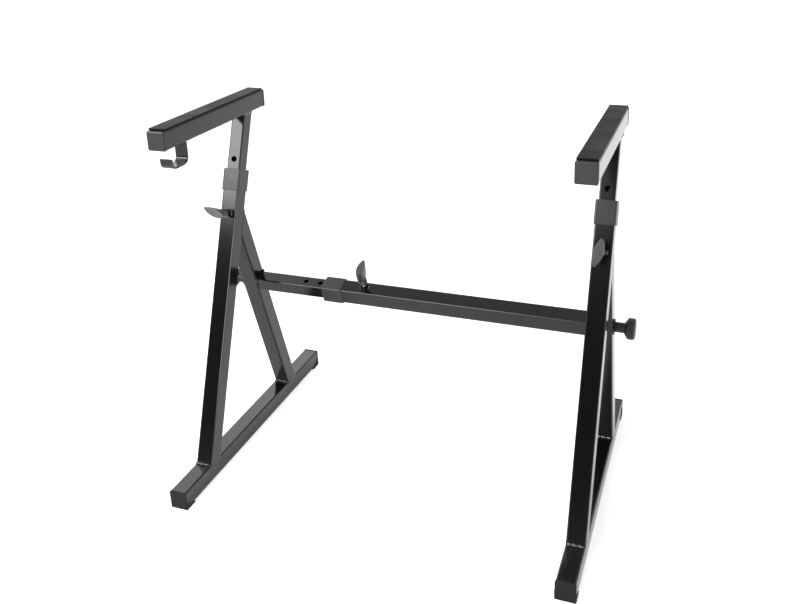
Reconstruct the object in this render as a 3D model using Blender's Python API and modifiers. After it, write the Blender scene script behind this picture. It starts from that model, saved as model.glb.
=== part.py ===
"""Keyboard stand: two welded A-frames of square tube, joined by a telescopic crossbar, each with an arm that
slides up and down on its leaning post. Metres, +Z up, the front towards -Y, the floor at Z = 0."""

import math

import bmesh
import bpy
from mathutils import Matrix, Vector

# Square tubes
TUBE = 0.030
SLIDE_TUBE = 0.025
WALL = 0.0015
TUBE_CORNER = 0.0025
SLIDE_CORNER = 0.0020
BORE_CORNER_CUT = 0.0009
GAP = 0.0003

# Stance
FRAME_SPACING = 0.646
FOOT_LENGTH = 0.498
PAD = 0.0020
POST_Y = -0.156
POST_LEAN = math.radians(21)
POST_LENGTH = 0.508
BRACE_Y = 0.1335
BRACE_LEAN = math.radians(18)

# Arms and sliding uprights
ARM_BOTTOM = 0.6054
ARM_LENGTH = 0.300
ARM_FRONT = -0.1853
UPRIGHT_LENGTH = 0.400
UPRIGHT_HOLE_PITCH = 0.032
UPRIGHT_HOLES_OUT = 3
UPRIGHT_HOLES_IN = 6

# Crossbar
CROSSBAR_HEIGHT = 0.288
CROSSBAR_OUTER_LENGTH = 0.478
CROSSBAR_INNER_LENGTH = 0.358
CROSSBAR_HOLE_PITCH = 0.029
CROSSBAR_HOLES_OUT = 4
CROSSBAR_HOLES_IN = 4
HOLE_RADIUS = 0.005

# Collar on the open end of each outer tube
COLLAR_LENGTH = 0.038
COLLAR_LIP = 0.005
COLLAR_WALL = 0.0012
COLLAR_CHAMFER = 0.0010
SCREW_TO_END = 0.074

# Clamping screws
SCREW_RADIUS = 0.0040
SCREW_CLEARANCE = 0.0005
NUT_RADIUS = 0.0075
NUT_HEIGHT = 0.0065

# Paddle handles
HUB_RADIUS = 0.0070
HUB_TOP_RADIUS = 0.0063
HUB_START = 0.0110
HUB_TOP = 0.0400
PADDLE_START = 0.0260
PADDLE_TOP = 0.0470
PADDLE_LENGTH = 0.0470
PADDLE_WIDTH = 0.0140
PADDLE_TAPER = 0.90
PADDLE_EDGE = 0.0012
PADDLE_TIP = 0.0030
TIP_ZONE = 0.95
SCREW_GRIP = 0.0120
ARC_STEPS = 8
LEFT_PADDLE_TURN = math.radians(72)
RIGHT_PADDLE_TURN = math.radians(-11)
CROSSBAR_PADDLE_TURN = math.radians(95)

# Round end knobs
KNOB_RADIUS = 0.0175
KNOB_THICKNESS = 0.0170
KNOB_ROUND = 0.0035
KNOB_DOME = 0.0010
KNOB_UNDERCUT = 0.0030
NECK_RADIUS = 0.0084
NECK_LENGTH = 0.0160
WASHER_RADIUS = 0.0130
WASHER_HEIGHT = 0.0020
END_PLUG_DEPTH = 0.022
KNOB_SCREW_REACH = 0.020
TURNED_STEPS = 32
ROUND_SIDES = 24
SMOOTH_ANGLE = math.radians(35)
EDGE_ANGLE = math.radians(60)

# Caps
CAP_PROUD = 0.0005
PLUG_DEPTH = 0.012
FOOT_CAP = 0.0025
FOOT_PAD_LENGTH = 0.022
FOOT_CHEEK = 0.0008
FOOT_CHEEK_HEIGHT = 0.014
FOOT_CHEEK_LENGTH = 0.0176
ARM_CAP = 0.0050
ARM_CAP_BEVEL = 0.0022
STRIP_THICKNESS = 0.0034
STRIP_WIDTH = 0.0290
STRIP_END = 0.0010
STRIP_EDGE = 0.0006
GUIDE_FLANGE = 0.003

# Hook under the left arm
HOOK_Y = -0.1275
HOOK_WIDTH = 0.022
HOOK_SHEET = 0.003
HOOK_DROP = 0.0345
HOOK_REACH = 0.042
HOOK_LIP = 0.006
HOOK_BEND = 0.010
HOOK_BEND_STEPS = 6
HOOK_EDGE = 0.000375

FOOT_TOP = PAD + TUBE
SIDES = {"left": -1, "right": 1}

for old in list(bpy.data.objects):
    bpy.data.objects.remove(old)

parts = bpy.data.collections.new("keyboard_stand")
cutters = bpy.data.collections.new("cutters")
bpy.context.scene.collection.children.link(parts)
bpy.context.scene.collection.children.link(cutters)


def make_material(name, colour, roughness, metallic=0.0):
    """A plain Principled surface."""
    material = bpy.data.materials.new(name)
    material.use_nodes = True
    shader = material.node_tree.nodes["Principled BSDF"]
    shader.inputs["Base Color"].default_value = (*colour, 1.0)
    shader.inputs["Roughness"].default_value = roughness
    shader.inputs["Metallic"].default_value = metallic
    return material


def powder_coat():
    """Semi-gloss black coat on the steel tubes."""
    return make_material("powder_coat", (0.012, 0.012, 0.013), 0.28)


def black_plastic():
    """Moulded black plastic of the caps, collars and handles."""
    return make_material("black_plastic", (0.018, 0.018, 0.019), 0.45)


def plated_steel():
    """Bright plating on the screws and washers."""
    return make_material("plated_steel", (0.55, 0.55, 0.56), 0.30, 1.0)


def strip_rubber():
    """Soft black strips along the tops of the arms."""
    return make_material("strip_rubber", (0.022, 0.022, 0.022), 0.62)


COAT = powder_coat()
PLASTIC = black_plastic()
STEEL = plated_steel()
RUBBER = strip_rubber()


def finish_mesh(bm, name, material, frame, local=None):
    """Turns bmesh data into an object of the part, placed in its frame."""
    bmesh.ops.recalc_face_normals(bm, faces=bm.faces)
    mesh = bpy.data.meshes.new(name)
    bm.to_mesh(mesh)
    bm.free()
    obj = bpy.data.objects.new(name, mesh)
    own = material.copy()
    own.name = name + "_" + material.name
    mesh.materials.append(own)
    parts.objects.link(obj)
    place(obj, frame, local)
    return obj


def place(obj, frame, local=None):
    """Sets an object in the axes of its frame."""
    obj.parent = frame
    obj.matrix_basis = local if local is not None else Matrix.Identity(4)


def make_frame(name, matrix):
    """An empty whose axes a group of pieces follows."""
    empty = bpy.data.objects.new(name, None)
    empty.matrix_basis = matrix
    parts.objects.link(empty)
    return empty


def smooth_round(obj):
    """Smooth shading with sharp edges kept."""
    obj.data.shade_smooth()
    obj.data.set_sharp_from_angle(angle=SMOOTH_ANGLE)


def box(bm, size, centre):
    """A box of the given size about its centre."""
    made = bmesh.ops.create_cube(bm, size=1.0)
    bmesh.ops.scale(bm, vec=Vector(size), verts=made["verts"])
    bmesh.ops.translate(bm, vec=Vector(centre), verts=made["verts"])
    return made["verts"]


def bar(width, low, high, corner):
    """A square bar along Z with rounded long edges."""
    bm = bmesh.new()
    box(bm, (width, width, high - low), (0, 0, (low + high) / 2))
    long_edges = [e for e in bm.edges if abs(e.verts[0].co.z - e.verts[1].co.z) > (high - low) / 2]
    bmesh.ops.bevel(bm, geom=long_edges, offset=corner, segments=3, profile=0.5, affect="EDGES")
    return bm


def mitre(bm, point, outward):
    """Cuts away what lies beyond a plane and closes the cut."""
    everything = bm.verts[:] + bm.edges[:] + bm.faces[:]
    cut = bmesh.ops.bisect_plane(bm, geom=everything, plane_co=point, plane_no=outward, clear_outer=True)
    rim = [item for item in cut["geom_cut"] if isinstance(item, bmesh.types.BMEdge)]
    bmesh.ops.holes_fill(bm, edges=rim, sides=0)


def as_cutter(bm, name, frame, local=None):
    """A hidden shape that only cuts others."""
    bmesh.ops.recalc_face_normals(bm, faces=bm.faces)
    mesh = bpy.data.meshes.new(name)
    bm.to_mesh(mesh)
    bm.free()
    obj = bpy.data.objects.new(name, mesh)
    obj.hide_render = True
    obj.display_type = "WIRE"
    cutters.objects.link(obj)
    place(obj, frame, local)
    return obj


def boolean(obj, cutter, operation="DIFFERENCE"):
    """Cuts an object with a cutter, or joins them."""
    modifier = obj.modifiers.new(cutter.name, "BOOLEAN")
    modifier.operation = operation
    modifier.solver = "EXACT"
    modifier.object = cutter


def round_bar(bm, radius, low, high, turn=None, top_radius=None):
    """A cylinder or cone along Z from low to high, then turned."""
    matrix = Matrix.Translation((0, 0, (low + high) / 2))
    if turn is not None:
        matrix = turn @ matrix
    bmesh.ops.create_cone(
        bm,
        cap_ends=True,
        segments=ROUND_SIDES,
        radius1=radius,
        radius2=radius if top_radius is None else top_radius,
        depth=high - low,
        matrix=matrix,
    )


# Turns +Z to -Y, the face of a tube that carries its clamping screw
TO_FACE = Matrix.Rotation(math.radians(90), 4, "X")


def face_axes(along, width=TUBE):
    """Axes on the screw face of a tube, Z pointing out of it, at a distance along the tube."""
    return Matrix.Translation((0, -width / 2, along)) @ TO_FACE


def round_hole(obj, name, frame, radius, axes, depth, above=0.0):
    """Bores a round hole down from the given axes."""
    bm = bmesh.new()
    round_bar(bm, radius, -depth, above + GAP)
    boolean(obj, as_cutter(bm, name, frame, axes))


def square_tube(name, width, corner, low, high, frame, mitres=(), holes=()):
    """A hollow square tube along its frame's Z, with mitred ends and round holes in its screw face."""
    margin = 2 * width
    start = low - (margin if mitres else 0.0)
    end = high + (margin if mitres else 0.0)
    bm = bar(width, start if mitres and mitres[0] else low, end if mitres and mitres[-1] else high, corner)
    for cut in mitres:
        if cut:
            mitre(bm, *cut)
    tube = finish_mesh(bm, name, COAT, frame)
    bore = bar(width - 2 * WALL, start - margin, end + margin, corner - BORE_CORNER_CUT)
    boolean(tube, as_cutter(bore, name + "_bore", frame))
    if holes:
        bm = bmesh.new()
        for along, radius in holes:
            round_bar(bm, radius, -2 * WALL, GAP, face_axes(along, width))
        boolean(tube, as_cutter(bm, name + "_holes", frame))
    return tube


def square_plug(name, outer, bore, low, depth, flange, frame, local, chamfer=0.0):
    """A cap: a flange outside the tube and a plug that fits its bore."""
    bm = bar(outer, 0, flange, TUBE_CORNER)
    if chamfer:
        top = [e for e in bm.edges if min(v.co.z for v in e.verts) > flange - GAP]
        bmesh.ops.bevel(bm, geom=top, offset=chamfer, segments=2, profile=0.5, affect="EDGES")
    cap = finish_mesh(bm, name, PLASTIC, frame, local)
    plug = bar(bore - 2 * GAP, low - depth, flange / 2, TUBE_CORNER - WALL)
    boolean(cap, as_cutter(plug, name + "_plug", frame, local), "UNION")
    return cap


def up_normal(lean):
    """World up, in the axes of a tube that leans back by this angle."""
    return Vector((0, -math.sin(lean), math.cos(lean)))


def foot(side, centre_x):
    """The beam on the floor with a cap and pad at each end."""
    base = Matrix.Translation((centre_x, 0, PAD + TUBE / 2))
    frame = make_frame(side + "_foot", base @ Matrix.Rotation(math.radians(-90), 4, "X"))
    half = FOOT_LENGTH / 2
    square_tube(side + "_foot_tube", TUBE, TUBE_CORNER, -half, half, frame)
    for end, turn in (("rear", 0), ("front", 180)):
        local = Matrix.Rotation(math.radians(turn), 4, "Y") @ Matrix.Translation((0, 0, half + GAP))
        foot_cap(side + "_foot_cap_" + end, frame, local)


def foot_cap(name, frame, local):
    """End cap with a pad under the tube and a cheek low on each side. Local +Y points down."""
    cap = square_plug(name, TUBE + 2 * CAP_PROUD, TUBE - 2 * WALL, -GAP, PLUG_DEPTH, FOOT_CAP, frame, local)
    outer = TUBE + 2 * CAP_PROUD
    inside = TUBE / 2 + GAP
    bm = bmesh.new()
    box(
        bm,
        (outer, PAD - GAP, FOOT_PAD_LENGTH + FOOT_CAP),
        (0, TUBE / 2 + GAP + (PAD - GAP) / 2, (FOOT_CAP - FOOT_PAD_LENGTH) / 2),
    )
    boolean(cap, as_cutter(bm, name + "_pad", frame, local), "UNION")
    for label, way in (("a", -1), ("b", 1)):
        bm = bmesh.new()
        corners = (
            (FOOT_CAP / 2, TUBE / 2 + PAD / 2),
            (-FOOT_CHEEK_LENGTH, TUBE / 2 + PAD / 2),
            (FOOT_CAP / 2, TUBE / 2 - FOOT_CHEEK_HEIGHT),
        )
        flat = bm.faces.new([bm.verts.new((way * inside, y, z)) for z, y in corners])
        grown = bmesh.ops.extrude_face_region(bm, geom=[flat])
        grown_verts = [item for item in grown["geom"] if isinstance(item, bmesh.types.BMVert)]
        bmesh.ops.translate(bm, vec=(way * FOOT_CHEEK, 0, 0), verts=grown_verts)
        boolean(cap, as_cutter(bm, name + "_cheek_" + label, frame, local), "UNION")


def collar(name, frame, end):
    """Plastic collar over the open end of an outer tube, with a square hole for the sliding tube."""
    outer = TUBE + 2 * (GAP + COLLAR_WALL)
    low = end + COLLAR_LIP - COLLAR_LENGTH
    bm = bar(outer, low, end + COLLAR_LIP, TUBE_CORNER)
    rims = [e for e in bm.edges if abs(e.verts[0].co.z - e.verts[1].co.z) < GAP]
    bmesh.ops.bevel(bm, geom=rims, offset=COLLAR_CHAMFER, segments=2, profile=0.5, affect="EDGES")
    sleeve = finish_mesh(bm, name, PLASTIC, frame)
    socket = bar(TUBE + 2 * GAP, low - COLLAR_LENGTH, end + GAP, TUBE_CORNER)
    boolean(sleeve, as_cutter(socket, name + "_socket", frame))
    window = bar(SLIDE_TUBE + 2 * GAP, end - COLLAR_LENGTH, end + COLLAR_LENGTH, SLIDE_CORNER)
    boolean(sleeve, as_cutter(window, name + "_window", frame))


def weld_nut(name, frame, along):
    """Hexagonal nut welded on the screw face of an outer tube."""
    axes = face_axes(along)
    bm = bmesh.new()
    bmesh.ops.create_cone(
        bm,
        cap_ends=True,
        segments=6,
        radius1=NUT_RADIUS,
        radius2=NUT_RADIUS,
        depth=NUT_HEIGHT,
        matrix=Matrix.Translation((0, 0, GAP + NUT_HEIGHT / 2)),
    )
    nut = finish_mesh(bm, name, COAT, frame, axes)
    round_hole(nut, name + "_bore", frame, SCREW_RADIUS + SCREW_CLEARANCE, axes, NUT_HEIGHT, 3 * NUT_HEIGHT)


def paddle_outline(length, width):
    """Corners of a pointed oval made of two arcs."""
    radius = (length**2 + width**2) / (4 * width)
    half = math.asin(length / 2 / radius)
    steps = [half * (2 * i / ARC_STEPS - 1) for i in range(ARC_STEPS)]
    arc = [(radius * math.cos(t) - radius + width / 2, radius * math.sin(t)) for t in steps]
    return arc + [(-x, -y) for x, y in arc]


def paddle_handle(name, frame):
    """Hub on the screw's axis with a pointed oval paddle across its end. Local Z points out of the tube."""
    bm = bmesh.new()
    rim = [
        bm.verts.new((x * PADDLE_TAPER, y * PADDLE_TAPER, PADDLE_START))
        for x, y in paddle_outline(PADDLE_LENGTH, PADDLE_WIDTH)
    ]
    flat = bm.faces.new(rim)
    grown = bmesh.ops.extrude_face_region(bm, geom=[flat])
    top = [item for item in grown["geom"] if isinstance(item, bmesh.types.BMVert)]
    bmesh.ops.translate(bm, vec=(0, 0, PADDLE_TOP - PADDLE_START), verts=top)
    bmesh.ops.scale(bm, vec=(1 / PADDLE_TAPER, 1 / PADDLE_TAPER, 1), verts=top)
    bmesh.ops.recalc_face_normals(bm, faces=bm.faces)
    near_tip = TIP_ZONE * PADDLE_TAPER * PADDLE_LENGTH / 2
    tips = [e for e in bm.edges if all(abs(v.co.y) > near_tip for v in e.verts)]
    bmesh.ops.bevel(bm, geom=tips, offset=PADDLE_TIP, segments=3, profile=0.5, affect="EDGES")
    rims = [e for e in bm.edges if abs(e.verts[0].co.z - e.verts[1].co.z) < GAP]
    bmesh.ops.bevel(bm, geom=rims, offset=PADDLE_EDGE, segments=2, profile=0.5, affect="EDGES")
    handle = finish_mesh(bm, name, PLASTIC, frame)
    bm = bmesh.new()
    round_bar(bm, HUB_RADIUS, HUB_START, HUB_TOP, top_radius=HUB_TOP_RADIUS)
    boolean(handle, as_cutter(bm, name + "_hub", frame), "UNION")
    socket = Matrix.Translation((0, 0, HUB_START)) @ Matrix.Rotation(math.pi, 4, "X")
    round_hole(handle, name + "_socket", frame, SCREW_RADIUS + GAP, socket, SCREW_GRIP)
    smooth_round(handle)


def clamp_screw(name, frame, tip):
    """Plain round screw from its tip inside the tube up into the handle's hub."""
    bm = bmesh.new()
    round_bar(bm, SCREW_RADIUS, tip, HUB_START + SCREW_GRIP - GAP)
    screw = finish_mesh(bm, name, STEEL, frame)
    smooth_round(screw)


def clamp(prefix, frame, along, turn):
    """Nut, screw and paddle handle that lock a sliding tube."""
    weld_nut(prefix + "_weld_nut", frame, along)
    axes = frame.matrix_basis @ face_axes(along) @ Matrix.Rotation(turn, 4, "Z")
    lever = make_frame(prefix + "_lever", axes)
    tip = -(TUBE - SLIDE_TUBE) / 2 + GAP
    clamp_screw(prefix + "_lever_screw", lever, tip)
    paddle_handle(prefix + "_lever_handle", lever)


def slide_guide(name, frame, local):
    """Plastic guide plugged into the hidden end of a sliding tube."""
    outer = TUBE - 2 * WALL - 2 * GAP
    bore = SLIDE_TUBE - 2 * WALL
    square_plug(name, outer, bore, -GAP, PLUG_DEPTH, GUIDE_FLANGE, frame, local)


def hole_row(screw_at, pitch, outward, inward):
    """Places of the locking holes along a sliding tube, one of them under the screw."""
    return [(screw_at + i * pitch, HOLE_RADIUS) for i in range(-inward, outward + 1)]


def post(side, centre_x):
    """Leaning outer tube with its collar and clamp."""
    matrix = Matrix.Translation((centre_x, POST_Y, FOOT_TOP)) @ Matrix.Rotation(-POST_LEAN, 4, "X")
    frame = make_frame(side + "_post", matrix)
    down = -up_normal(POST_LEAN)
    screw_at = POST_LENGTH - SCREW_TO_END
    square_tube(
        side + "_post_tube",
        TUBE,
        TUBE_CORNER,
        0,
        POST_LENGTH,
        frame,
        mitres=((-down * GAP, down), None),
        holes=((screw_at, SCREW_RADIUS + SCREW_CLEARANCE),),
    )
    collar(side + "_post_collar", frame, POST_LENGTH)
    clamp(side + "_post", frame, screw_at, RIGHT_PADDLE_TURN if side == "right" else LEFT_PADDLE_TURN)
    return frame


def brace(side, centre_x):
    """Rear tube from the foot up to the back of the post."""
    matrix = Matrix.Translation((centre_x, BRACE_Y, FOOT_TOP)) @ Matrix.Rotation(BRACE_LEAN, 4, "X")
    frame = make_frame(side + "_brace", matrix)
    down = -up_normal(-BRACE_LEAN)
    to_brace = matrix.inverted()
    back = Vector((0, math.cos(POST_LEAN), -math.sin(POST_LEAN)))
    behind_post = Vector((centre_x, POST_Y, FOOT_TOP)) + back * (TUBE / 2 + GAP)
    top_cut = (to_brace @ behind_post, -(to_brace.to_3x3() @ back))
    tube = square_tube(
        side + "_brace_tube",
        TUBE,
        TUBE_CORNER,
        0,
        POST_LENGTH,
        frame,
        mitres=((-down * GAP, down), top_cut),
    )
    bore_height = brace_along(CROSSBAR_HEIGHT)
    through = Matrix.Translation((-TUBE, 0, bore_height)) @ Matrix.Rotation(math.radians(90), 4, "Y")
    bm = bmesh.new()
    round_bar(bm, SCREW_RADIUS + SCREW_CLEARANCE, 0, 2 * TUBE)
    boolean(tube, as_cutter(bm, side + "_brace_knob_hole", frame, through))


def brace_along(height):
    """Distance up the brace's axis to a height above the floor."""
    return (height - FOOT_TOP) / math.cos(BRACE_LEAN)


def upright(side, centre_x, post_frame):
    """Sliding tube with its arm, on an empty at the post's axis."""
    frame = make_frame(side + "_upright", post_frame.matrix_basis.copy())
    up = up_normal(POST_LEAN)
    top = (ARM_BOTTOM - FOOT_TOP) / math.cos(POST_LEAN)
    low = top - UPRIGHT_LENGTH
    holes = hole_row(POST_LENGTH - SCREW_TO_END, UPRIGHT_HOLE_PITCH, UPRIGHT_HOLES_OUT, UPRIGHT_HOLES_IN)
    square_tube(
        side + "_upright_tube",
        SLIDE_TUBE,
        SLIDE_CORNER,
        low,
        top,
        frame,
        mitres=(None, (Vector((0, 0, top)) - up * GAP, up)),
        holes=holes,
    )
    flip = Matrix.Translation((0, 0, low - GAP)) @ Matrix.Rotation(math.pi, 4, "X")
    slide_guide(side + "_upright_guide", frame, flip)
    arm(side, centre_x, frame)


def arm(side, centre_x, upright_frame):
    """Level tube across the top of the sliding tube, with its caps and strip, and the hook on the left."""
    middle = Vector((centre_x, ARM_FRONT + ARM_LENGTH / 2, ARM_BOTTOM + TUBE / 2))
    world = Matrix.Translation(middle) @ Matrix.Rotation(math.radians(-90), 4, "X")
    frame = make_frame(side + "_arm", upright_frame.matrix_basis.inverted() @ world)
    frame.parent = upright_frame
    half = ARM_LENGTH / 2
    square_tube(side + "_arm_tube", TUBE, TUBE_CORNER, -half, half, frame)
    for end, turn in (("rear", 0), ("front", 180)):
        local = Matrix.Rotation(math.radians(turn), 4, "Y") @ Matrix.Translation((0, 0, half + GAP))
        arm_cap(side + "_arm_cap_" + end, frame, local)
    arm_strip(side + "_arm_strip", frame)
    if side == "left":
        headphone_hook(centre_x, upright_frame)


def arm_cap(name, frame, local):
    """End cap of an arm, with its outer edges bevelled."""
    outer = TUBE + 2 * CAP_PROUD
    bore = TUBE - 2 * WALL
    square_plug(name, outer, bore, -GAP, PLUG_DEPTH, ARM_CAP, frame, local, ARM_CAP_BEVEL)


def arm_strip(name, frame):
    """Rubber strip along the top of an arm."""
    bm = bmesh.new()
    length = ARM_LENGTH - 2 * STRIP_END
    box(bm, (STRIP_WIDTH, STRIP_THICKNESS, length), (0, -(TUBE + STRIP_THICKNESS) / 2 - GAP, 0))
    bmesh.ops.bevel(bm, geom=bm.edges[:], offset=STRIP_EDGE, segments=2, profile=0.5, affect="EDGES")
    finish_mesh(bm, name, RUBBER, frame)


def hook_path():
    """Side view of the hook's strip, as (forward, down) from the arm's underside."""
    path = [(0, 0)]
    turns = [math.pi / 2 * i / HOOK_BEND_STEPS for i in range(HOOK_BEND_STEPS + 1)]
    for t in turns:
        path.append((HOOK_BEND * (1 - math.cos(t)), HOOK_DROP - HOOK_BEND * (1 - math.sin(t))))
    for t in turns:
        path.append((HOOK_REACH - HOOK_BEND * (1 - math.sin(t)), HOOK_DROP - HOOK_BEND * (1 - math.cos(t))))
    path.append((HOOK_REACH, HOOK_DROP - HOOK_BEND - HOOK_LIP))
    return path


def headphone_hook(centre_x, upright_frame):
    """Bent strip under the left arm, open towards the front."""
    bm = bmesh.new()
    start = -HOOK_WIDTH / 2
    rail = [bm.verts.new((start, -forward, -down)) for forward, down in hook_path()]
    edges = [bm.edges.new(pair) for pair in zip(rail, rail[1:])]
    swept = bmesh.ops.extrude_edge_only(bm, edges=edges)
    moved = [item for item in swept["geom"] if isinstance(item, bmesh.types.BMVert)]
    bmesh.ops.translate(bm, vec=(HOOK_WIDTH, 0, 0), verts=moved)
    top = Matrix.Translation((centre_x, HOOK_Y, ARM_BOTTOM - GAP))
    hook = finish_mesh(bm, "headphone_hook", COAT, upright_frame, upright_frame.matrix_basis.inverted() @ top)
    solid = hook.modifiers.new("sheet", "SOLIDIFY")
    solid.thickness = HOOK_SHEET
    solid.offset = 0
    solid.use_even_offset = True
    edge = hook.modifiers.new("edge", "BEVEL")
    edge.width = HOOK_EDGE
    edge.segments = 1
    edge.limit_method = "ANGLE"
    edge.angle_limit = EDGE_ANGLE


def crossbar_axes():
    """Axes of the crossbar at the right brace: Z runs to the left, -Y is the face that carries the screw."""
    y = BRACE_Y - brace_along(CROSSBAR_HEIGHT) * math.sin(BRACE_LEAN)
    origin = Vector((FRAME_SPACING / 2 - TUBE / 2, y, CROSSBAR_HEIGHT))
    rear = Vector((0, math.cos(BRACE_LEAN), math.sin(BRACE_LEAN)))
    below = Vector((0, math.sin(BRACE_LEAN), -math.cos(BRACE_LEAN)))
    left = Vector((-1, 0, 0))
    turn = Matrix((rear, below, left)).transposed()
    return Matrix.Translation(origin) @ turn.to_4x4()


def crossbar():
    """Telescopic bar between the braces, with its collar, clamp, end plugs and end knobs."""
    axes = crossbar_axes()
    outer = make_frame("crossbar_outer", axes)
    inner = make_frame("crossbar_inner", axes)
    span = FRAME_SPACING - TUBE
    screw_at = CROSSBAR_OUTER_LENGTH - SCREW_TO_END
    square_tube(
        "crossbar_outer_tube",
        TUBE,
        TUBE_CORNER,
        GAP,
        CROSSBAR_OUTER_LENGTH,
        outer,
        holes=((screw_at, SCREW_RADIUS + SCREW_CLEARANCE),),
    )
    collar("crossbar_collar", outer, CROSSBAR_OUTER_LENGTH)
    clamp("crossbar", outer, screw_at, CROSSBAR_PADDLE_TURN)
    square_tube(
        "crossbar_inner_tube",
        SLIDE_TUBE,
        SLIDE_CORNER,
        span - CROSSBAR_INNER_LENGTH,
        span - GAP,
        inner,
        holes=hole_row(screw_at, CROSSBAR_HOLE_PITCH, CROSSBAR_HOLES_OUT, CROSSBAR_HOLES_IN),
    )
    flip = Matrix.Rotation(math.pi, 4, "X")
    guide_at = Matrix.Translation((0, 0, span - CROSSBAR_INNER_LENGTH - GAP)) @ flip
    slide_guide("crossbar_inner_guide", inner, guide_at)
    end_plug("crossbar_outer_end_plug", TUBE, outer, Matrix.Translation((0, 0, 2 * GAP)))
    end_plug("crossbar_inner_end_plug", SLIDE_TUBE, inner, Matrix.Translation((0, 0, span - 2 * GAP)) @ flip)
    outward = Matrix.Translation((0, 0, -TUBE)) @ flip
    end_knob("right", outer, outward)
    end_knob("left", inner, Matrix.Translation((0, 0, span + TUBE)))


def end_plug(name, tube, frame, local):
    """Threaded insert in a tube's end, for the knob's screw."""
    bm = bar(tube - 2 * WALL - 2 * GAP, 0, END_PLUG_DEPTH, TUBE_CORNER - WALL)
    plug = finish_mesh(bm, name, PLASTIC, frame, local)
    bore = local @ Matrix.Rotation(math.pi, 4, "X")
    round_hole(plug, name + "_bore", frame, SCREW_RADIUS + SCREW_CLEARANCE, bore, 2 * END_PLUG_DEPTH)


def turned(name, profile, material, frame):
    """A solid of revolution about its frame's Z, from points (radius, height) run top to bottom."""
    bm = bmesh.new()
    line = [bm.verts.new((radius, 0, height)) for radius, height in profile]
    for pair in zip(line, line[1:]):
        bm.edges.new(pair)
    mesh = bpy.data.meshes.new(name)
    bm.to_mesh(mesh)
    bm.free()
    obj = bpy.data.objects.new(name, mesh)
    own = material.copy()
    own.name = name + "_" + material.name
    mesh.materials.append(own)
    parts.objects.link(obj)
    place(obj, frame)
    spin = obj.modifiers.new("spin", "SCREW")
    spin.axis = "Z"
    spin.steps = TURNED_STEPS
    spin.render_steps = TURNED_STEPS
    spin.use_merge_vertices = True
    spin.merge_threshold = 0.00001
    spin.use_smooth_shade = True
    return obj


def knob_profile():
    """Outline of the knob from its crown, over the rim and neck, into the blind bore."""
    base = WASHER_HEIGHT + 2 * GAP
    shoulder = base + NECK_LENGTH
    crown = shoulder + KNOB_THICKNESS
    profile = [(0, crown)]
    rim = crown - KNOB_DOME
    profile += [
        (
            KNOB_RADIUS - KNOB_ROUND * (1 - math.sin(math.radians(t))),
            rim - KNOB_ROUND * (1 - math.cos(math.radians(t))),
        )
        for t in range(0, 91, 18)
    ]
    profile += [
        (KNOB_RADIUS, shoulder + KNOB_UNDERCUT + KNOB_ROUND / 2),
        (KNOB_RADIUS - KNOB_ROUND / 2, shoulder + KNOB_UNDERCUT),
        (NECK_RADIUS + KNOB_UNDERCUT, shoulder),
        (NECK_RADIUS, shoulder - KNOB_UNDERCUT / 2),
        (NECK_RADIUS, base),
        (SCREW_RADIUS + GAP, base),
        (SCREW_RADIUS + GAP, base + SCREW_GRIP),
        (0, base + SCREW_GRIP),
    ]
    return profile


def end_knob(side, frame, local):
    """Washer, screw and round knob on the outer face of a brace. Local Z points outwards."""
    axes = frame.matrix_basis @ local
    knob_frame = make_frame(side + "_end_knob_axis", axes)
    bm = bmesh.new()
    round_bar(bm, WASHER_RADIUS, GAP, GAP + WASHER_HEIGHT)
    washer = finish_mesh(bm, side + "_knob_washer", STEEL, frame, local)
    round_hole(
        washer,
        side + "_knob_washer_bore",
        frame,
        SCREW_RADIUS + SCREW_CLEARANCE,
        local,
        WASHER_HEIGHT,
        2 * WASHER_HEIGHT,
    )
    smooth_round(washer)
    base = WASHER_HEIGHT + 2 * GAP
    bm = bmesh.new()
    round_bar(bm, SCREW_RADIUS, -TUBE - KNOB_SCREW_REACH, base + SCREW_GRIP - GAP)
    screw = finish_mesh(bm, side + "_knob_screw", STEEL, knob_frame)
    smooth_round(screw)
    turned(side + "_end_knob", knob_profile(), PLASTIC, knob_frame)


for side, way in SIDES.items():
    middle_x = way * FRAME_SPACING / 2
    foot(side, middle_x)
    brace(side, middle_x)
    upright(side, middle_x, post(side, middle_x))
crossbar()
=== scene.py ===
"""Looks of the keyboard stand: coat, plastic, plating and rubber, weld beads, screw threads and hole rims,
and the studio that it stands in. Metres, +Z up, the front towards -Y, the floor at Z = 0."""

import math

import bmesh
import bpy
from mathutils import Matrix, Vector


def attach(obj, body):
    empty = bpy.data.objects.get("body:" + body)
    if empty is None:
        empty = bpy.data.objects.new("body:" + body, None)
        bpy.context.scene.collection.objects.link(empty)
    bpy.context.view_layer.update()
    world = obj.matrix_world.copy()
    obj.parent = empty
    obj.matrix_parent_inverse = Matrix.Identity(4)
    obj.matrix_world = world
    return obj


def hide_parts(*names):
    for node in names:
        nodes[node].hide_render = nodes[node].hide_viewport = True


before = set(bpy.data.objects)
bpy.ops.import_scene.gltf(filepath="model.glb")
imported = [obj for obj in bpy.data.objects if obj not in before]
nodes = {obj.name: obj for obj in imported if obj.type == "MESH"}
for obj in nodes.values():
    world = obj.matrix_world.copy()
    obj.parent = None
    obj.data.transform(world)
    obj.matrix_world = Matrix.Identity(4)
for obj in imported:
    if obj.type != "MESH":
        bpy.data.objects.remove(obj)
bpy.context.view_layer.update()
scene = bpy.context.scene

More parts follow.
